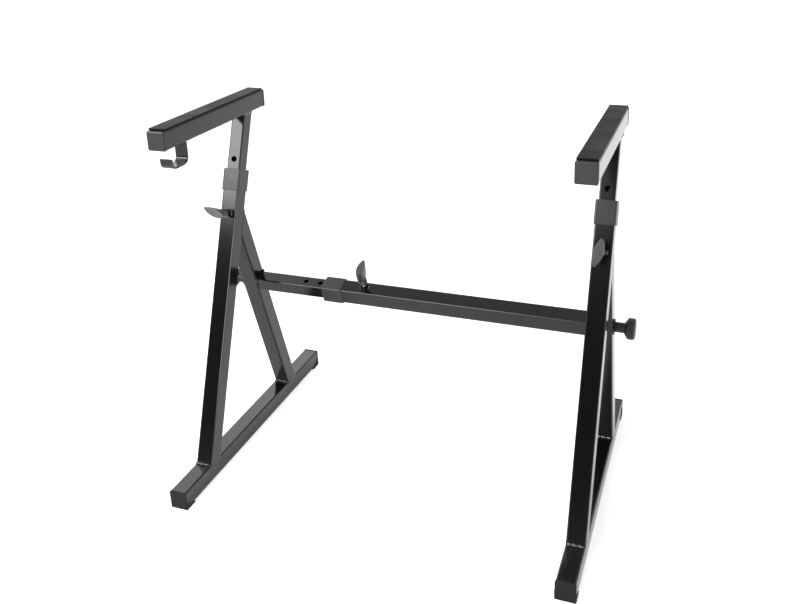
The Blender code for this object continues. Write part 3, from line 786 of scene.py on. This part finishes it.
def arm_weld(side):
    """Four beads round the top of the sliding tube, under the arm."""
    x = SIDES[side] * FRAME_X
    rise = ARM_BOTTOM - FOOT_TOP
    y = POST_Y + rise * math.tan(POST_LEAN)
    half = SLIDE_TUBE / 2 / math.cos(POST_LEAN)
    mesh = bmesh.new()
    quarter = Matrix.Rotation(QUARTER_TURN, 4, "Z")
    z = ARM_BOTTOM - ARM_BEAD_DOWN
    for way, across_phase, beside_phase in ((-1, 0.0, 0.001), (1, 0.0019, 0.0022)):
        across = Matrix.Translation((x, y + way * half, z))
        lay_bead(mesh, across, SLIDE_TUBE - ARM_BEAD_SHORTER, ARM_BEAD, across_phase)
        beside = Matrix.Translation((x + way * SLIDE_TUBE / 2, y, z)) @ quarter
        lay_bead(mesh, beside, 2 * half - ARM_BEAD_SHORTER, ARM_BEAD, beside_phase)
    add_piece(mesh, side + "_arm_weld", side + "_upright", WELD_COAT)


def hook_weld():
    """Beads in front of and behind the hook's strip, under the left arm."""
    mesh = bmesh.new()
    for way, phase in ((-1, 0.0009), (1, 0.0024)):
        place = Matrix.Translation((-FRAME_X, HOOK_Y + way * HOOK_SHEET / 2, ARM_BOTTOM - HOOK_BEAD_DOWN))
        lay_bead(mesh, place, HOOK_WIDTH - HOOK_BEAD_SHORTER, HOOK_BEAD, phase)
    add_piece(mesh, "hook_weld", "left_upright", WELD_COAT)


def crossbar_end_weld():
    """Two lumps of weld at the upper corners of the crossbar's left end, at the brace."""
    end = CROSSBAR_AXES @ Matrix.Translation((0, -SLIDE_TUBE / 2, CROSSBAR_LENGTH - LUMP_FROM_END))
    mesh = bmesh.new()
    for way, phase in ((-1, 0.0008), (1, 0.0029)):
        lump = end @ Matrix.Translation((way * (SLIDE_TUBE / 2 + LUMP_OUT), 0, 0))
        lay_bead(mesh, lump, LUMP_LENGTH, LUMP_RADIUS, phase)
    add_piece(mesh, "crossbar_end_weld", "left_frame", COAT)


def nut_tacks(name, body, axes, along, turn):
    """Two short tacks that hold a nut to the screw face of its tube."""
    face = face_axes(axes, along, TUBE) @ Matrix.Rotation(turn, 4, "Z")
    mesh = bmesh.new()
    for way, phase in ((-1, 0.0011), (1, 0.0027)):
        place = face @ Matrix.Translation((0, way * (NUT_RADIUS + TACK_OUT), TACK_UP))
        lay_bead(mesh, place, TACK_LENGTH, TACK_RADIUS, phase)
    add_piece(mesh, name, body, WELD_COAT)


for side in SIDES:
    base_weld(side, "post", POST_Y, POST_LEAN)
    base_weld(side, "brace", BRACE_Y, BRACE_LEAN)
    apex_weld(side)
    arm_weld(side)
    nut_tacks(side + "_nut_tacks", side + "_frame", POST_AXES[side], POST_SCREW_AT, QUARTER_TURN)
hook_weld()
crossbar_end_weld()
nut_tacks("crossbar_nut_tacks", "right_frame", CROSSBAR_AXES, CROSSBAR_SCREW_AT, 0.0)


def hole_rims(name, body, axes, places):
    """Coat built up round each locking hole, as a low ring on the rim."""
    mesh = bmesh.new()
    for along in places:
        face = face_axes(axes, along, SLIDE_TUBE)
        start = face @ Matrix.Translation((HOLE_RADIUS + RIM_PROUD, 0, RIM_PROUD - RIM_BEAD))
        tilt = start @ Matrix.Rotation(QUARTER_TURN, 4, "X")
        ring = bmesh.ops.create_circle(mesh, cap_ends=False, radius=RIM_BEAD, segments=RIM_SIDES, matrix=tilt)
        edges = list({e for v in ring["verts"] for e in v.link_edges})
        bmesh.ops.spin(
            mesh,
            geom=ring["verts"] + edges,
            cent=face.translation,
            axis=face.to_3x3() @ Vector((0, 0, 1)),
            angle=math.tau,
            steps=RIM_STEPS,
            use_merge=True,
        )
    add_piece(mesh, name, body, COAT)


for side in SIDES:
    upright_holes = [POST_SCREW_AT + step * UPRIGHT_HOLE_PITCH for step in UPRIGHT_HOLE_STEPS]
    hole_rims(side + "_upright_hole_rims", side + "_upright", POST_AXES[side], upright_holes)
crossbar_holes = [CROSSBAR_SCREW_AT + step * CROSSBAR_HOLE_PITCH for step in CROSSBAR_HOLE_STEPS]
hole_rims("crossbar_hole_rims", "left_frame", CROSSBAR_AXES, crossbar_holes)


def threaded_screw(name, node, body, axes, along):
    """A clamping screw with its thread cut where it shows, between the tube and the handle."""
    face = face_axes(axes, along, TUBE)
    mesh = bmesh.new()
    core = SCREW_RADIUS - THREAD_DEPTH
    tip = -(TUBE - SLIDE_TUBE) / 2 + GAP
    top = HUB_START + SCREW_GRIP - GAP
    middle = Matrix.Translation((0, 0, (tip + top) / 2))
    bmesh.ops.create_cone(
        mesh,
        cap_ends=True,
        segments=THREAD_SIDES,
        radius1=core,
        radius2=core,
        depth=top - tip,
        matrix=face @ middle,
    )
    turns = int((HUB_START - tip) / THREAD_PITCH)
    low = tip + THREAD_PITCH / 2
    crest = [(SCREW_RADIUS, share * THREAD_PITCH) for share in THREAD_CREST]
    outline = [(core, 0.0), *crest, (core, THREAD_PITCH)]
    corners = [mesh.verts.new(face @ Vector((radius, 0, low + height))) for radius, height in outline]
    flanks = [mesh.edges.new(pair) for pair in zip(corners, corners[1:])]
    out = face.to_3x3() @ Vector((0, 0, 1))
    bmesh.ops.spin(
        mesh,
        geom=corners + flanks,
        cent=face.translation,
        axis=out,
        dvec=out * (THREAD_PITCH / THREAD_SIDES),
        angle=math.tau * turns,
        steps=THREAD_SIDES * turns,
    )
    piece = add_piece(mesh, name, body, PLATED, smooth_angle=30.0)
    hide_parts(node)


for side in SIDES:
    threaded_screw(
        side + "_post_thread", side + "_post_lever_screw", side + "_post_screw", POST_AXES[side], POST_SCREW_AT
    )
threaded_screw("crossbar_thread", "crossbar_lever_screw", "crossbar_screw", CROSSBAR_AXES, CROSSBAR_SCREW_AT)


# ---------------------------------------------------------------------- studio


FLOOR_HALF_SIDE = 30.0
FLOOR_WHITE = (0.92, 0.92, 0.92, 1.0)
FLOOR_OFF_WHITE = (0.90, 0.90, 0.90, 1.0)
LIGHT_WHITE = (1.0, 1.0, 1.0, 1.0)
# The floor's own light, as the camera sees it and as the stand mirrors it
FLOOR_LIFT = 0.65
MIRRORED_LIFT = 0.38
# The dark room that the stand mirrors: which way it lies, the cosines at its sides and the heights at its top
ROOM_WAY = (-0.34, -0.94, 0.0)
ROOM_SIDES = (0.40, 0.70)
ROOM_TOP = (0.42, 0.30)
ROOM_LEVEL = 0.12
# The ceiling that the stand mirrors: the heights between which it sets in, and its level
CEILING_START = (0.62, 0.85)
CEILING_LEVEL = 0.62
# The light that the surroundings give
SKY_LEVEL = 0.40
# The photograph's camera: lens and sensor in millimetres, place in metres, turn in degrees
CAMERA_LENS = 39.435
CAMERA_SENSOR = 36.0
CAMERA_SHIFT = -0.1366
CAMERA_PLACE = (0.48782, -1.25921, 0.96430)
CAMERA_TURN = (71.21, 1.98, 20.49)


def studio_floor():
    """Plain white floor that keeps the stand's soft shadow."""
    mesh = bmesh.new()
    bmesh.ops.create_grid(mesh, x_segments=1, y_segments=1, size=FLOOR_HALF_SIDE)
    material, w, shader, place = new_material("floor white", 0.0)
    floor = new_object(mesh, "studio_floor", material)
    paper = w.group(CLOUDINESS, place=place, cloud_scale=1.5, low=0.0, high=1.0)
    w.feed(shader.inputs["Base Color"], w.blend(paper.outputs[0], FLOOR_OFF_WHITE, FLOOR_WHITE))
    shader.inputs["Roughness"].default_value = 1.0
    rays = w.node("ShaderNodeLightPath")
    seen = w.maths("ADD", rays.outputs["Is Camera Ray"], rays.outputs["Is Transmission Ray"], clamp=True)
    shown = w.maths("MULTIPLY", seen, FLOOR_LIFT)
    lift = w.spread(rays.outputs["Is Glossy Ray"], 0.0, 1.0, shown, MIRRORED_LIFT)
    shader.inputs["Emission Color"].default_value = LIGHT_WHITE
    w.feed(shader.inputs["Emission Strength"], lift)


def studio_world():
    """White surroundings for the camera. Reflections show a dark room in front of the stand and a dim ceiling."""
    world = bpy.data.worlds.new("studio")
    scene.world = world
    world.use_nodes = True
    tree = world.node_tree
    w = Wiring(tree)
    background = tree.nodes["Background"]
    rays = w.node("ShaderNodeLightPath")
    where = w.node("ShaderNodeTexCoord")
    parts = w.node("ShaderNodeSeparateXYZ")
    w.feed(parts.inputs[0], where.outputs["Generated"])
    facing = w.node("ShaderNodeVectorMath", operation="DOT_PRODUCT")
    w.feed(facing.inputs[0], where.outputs["Generated"])
    facing.inputs[1].default_value = ROOM_WAY
    sector = w.spread(facing.outputs["Value"], *ROOM_SIDES, 0.0, 1.0)
    low_down = w.spread(parts.outputs["Z"], *ROOM_TOP, 0.0, 1.0)
    dark = w.maths("MULTIPLY", sector, low_down)
    ceiling = w.spread(parts.outputs["Z"], *CEILING_START, 1.0, CEILING_LEVEL)
    mirrored = w.spread(dark, 0.0, 1.0, ceiling, ROOM_LEVEL)
    strength = w.spread(rays.outputs["Is Glossy Ray"], 0.0, 1.0, SKY_LEVEL, mirrored)
    strength = w.spread(rays.outputs["Is Transmission Ray"], 0.0, 1.0, strength, 1.0)
    strength = w.spread(rays.outputs["Is Camera Ray"], 0.0, 1.0, strength, 1.0)
    w.feed(background.inputs["Strength"], strength)
    background.inputs["Color"].default_value = LIGHT_WHITE


def softbox(name, at, aim, width, height, radiance, beam=180.0):
    """A rectangular area lamp at a point, aimed at another, with its radiance and its beam's width in degrees."""
    lamp = bpy.data.lights.new(name, "AREA")
    lamp.shape = "RECTANGLE"
    lamp.size = width
    lamp.size_y = height
    lamp.energy = radiance * math.pi * width * height
    lamp.spread = math.radians(beam)
    holder = bpy.data.objects.new(name, lamp)
    facing = (Vector(aim) - Vector(at)).to_track_quat("-Z", "Y")
    holder.matrix_basis = Matrix.Translation(at) @ facing.to_matrix().to_4x4()
    scene.collection.objects.link(holder)


studio_floor()
studio_world()
softbox("front_left_softbox", (-1.62, -1.95, 1.72), (-0.32, -0.10, 0.55), 0.80, 1.10, 9.5)
softbox("back_left_softbox", (-2.3, 2.4, 2.3), (-0.2, 0.0, 0.3), 2.4, 1.5, 1.1)
softbox("back_floor_softbox", (0.8, 2.4, 1.4), (0.8, 2.4, 0.0), 3.0, 2.4, 0.4, beam=90.0)
softbox("front_softbox", (-0.78, -2.00, 2.35), (0.0, 0.05, 0.30), 1.05, 2.60, 4.0)
softbox("crossbar_edge_softbox", (-0.585, -2.00, 1.32), (-0.585, 0.035, 0.30), 1.13, 0.16, 4.0)
softbox("right_softbox", (2.00, -1.42, 0.50), (-0.308, -0.08, 0.25), 0.60, 0.90, 7.0)
softbox("left_edge_softbox", (-1.72, -0.77, 2.50), (-0.323, -0.15, 0.60), 0.60, 0.45, 10.0)
softbox("right_edge_softbox", (0.04, -0.74, 2.50), (0.323, -0.17, 0.63), 0.40, 0.40, 8.0)
softbox("top_left_softbox", (-1.60, 1.05, 2.30), (-0.25, 0.05, 0.30), 0.60, 0.60, 0.6)


def photo_camera():
    """Camera at the photograph's viewpoint, for a frame of 805 by 604."""
    lens = bpy.data.cameras.new("photo_camera")
    lens.lens = CAMERA_LENS
    lens.sensor_width = CAMERA_SENSOR
    lens.sensor_fit = "HORIZONTAL"
    lens.shift_y = CAMERA_SHIFT
    lens.clip_end = 100.0
    holder = bpy.data.objects.new("photo_camera", lens)
    holder.location = CAMERA_PLACE
    holder.rotation_euler = [math.radians(angle) for angle in CAMERA_TURN]
    scene.collection.objects.link(holder)
    scene.camera = holder


photo_camera()
scene.view_settings.view_transform = "Standard"
